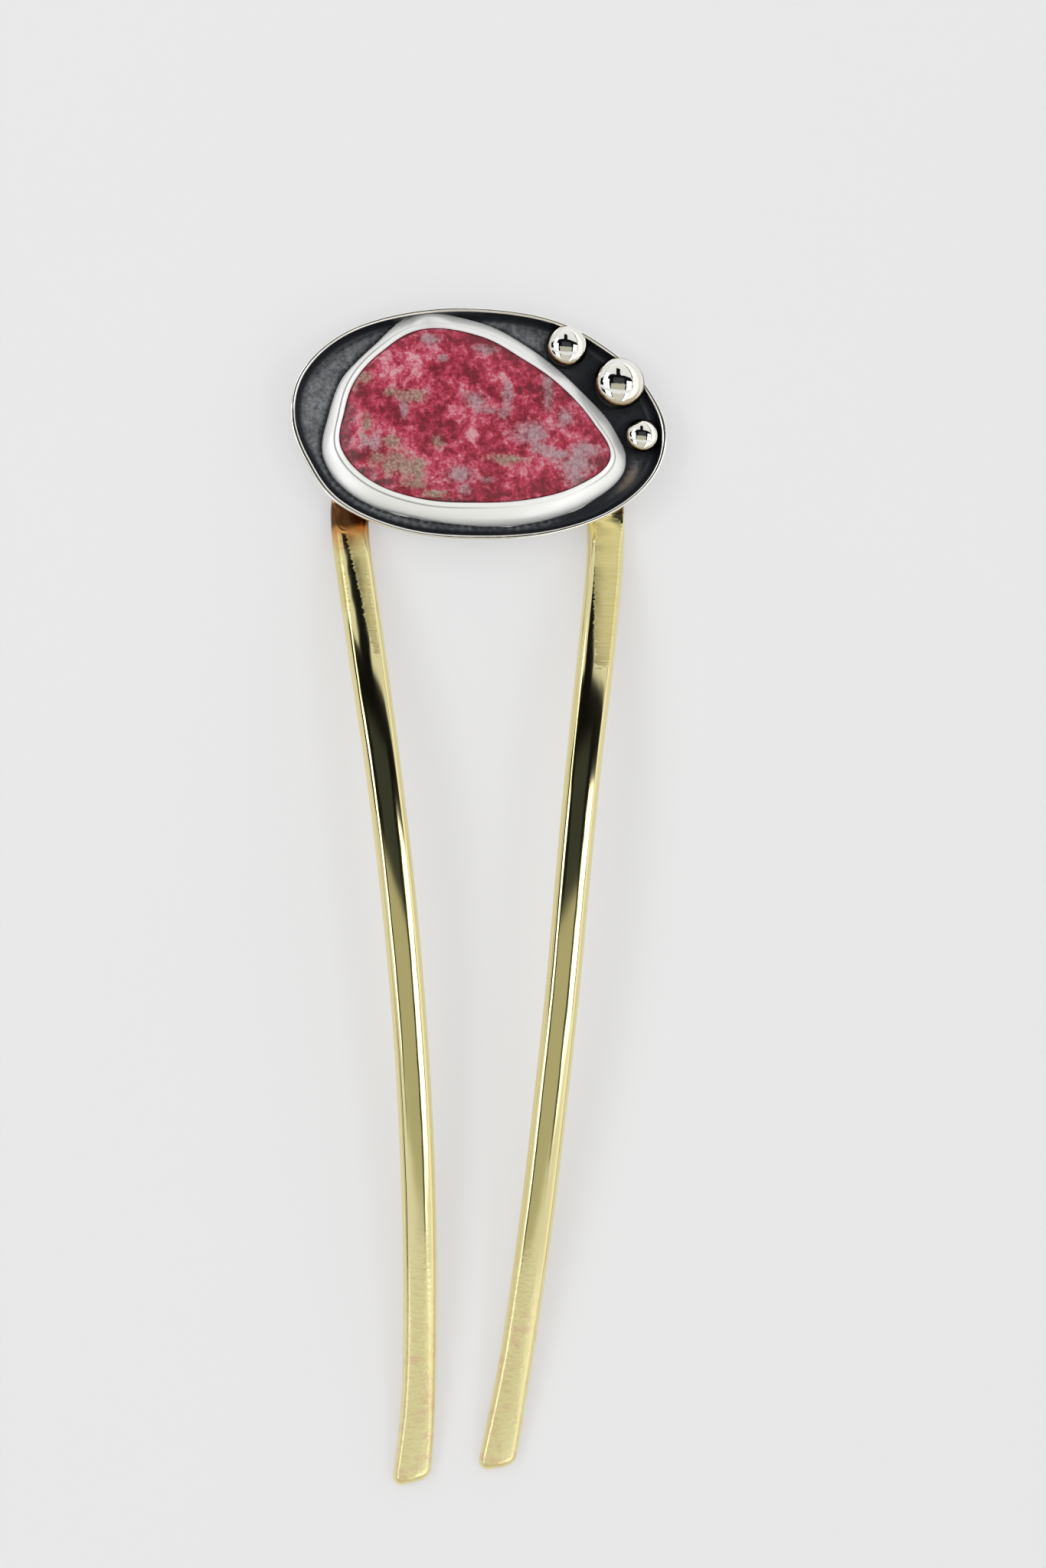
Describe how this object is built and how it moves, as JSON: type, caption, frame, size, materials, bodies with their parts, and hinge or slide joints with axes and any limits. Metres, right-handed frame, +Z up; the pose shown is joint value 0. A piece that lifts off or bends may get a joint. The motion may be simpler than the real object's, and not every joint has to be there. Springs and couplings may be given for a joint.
{
  "type": "hair fork",
  "caption": "Hair fork with a freeform cabochon and solid balls in an oval metal pan on an arched brass fork that slides through pinned-up hair.",
  "frame": {"origin": "on the table below the middle of the whole fork's box, as it lies face up on its yoke and tips", "axes": "+X to the right across the pan, +Y from the tips to the pan's crown end, +Z up out of the face"},
  "size_m": [0.0484, 0.1492, 0.0104],
  "materials": {
    "silver": "polished silver with a darkened pan floor",
    "stone": "satin polish, mottled pink and grey",
    "brass": "polished, lightly brushed near the pan"
  },
  "bodies": {
    "root": {"setting": "silver", "cabochon": "stone", "fork": "brass"}
  },
  "joints": []
}
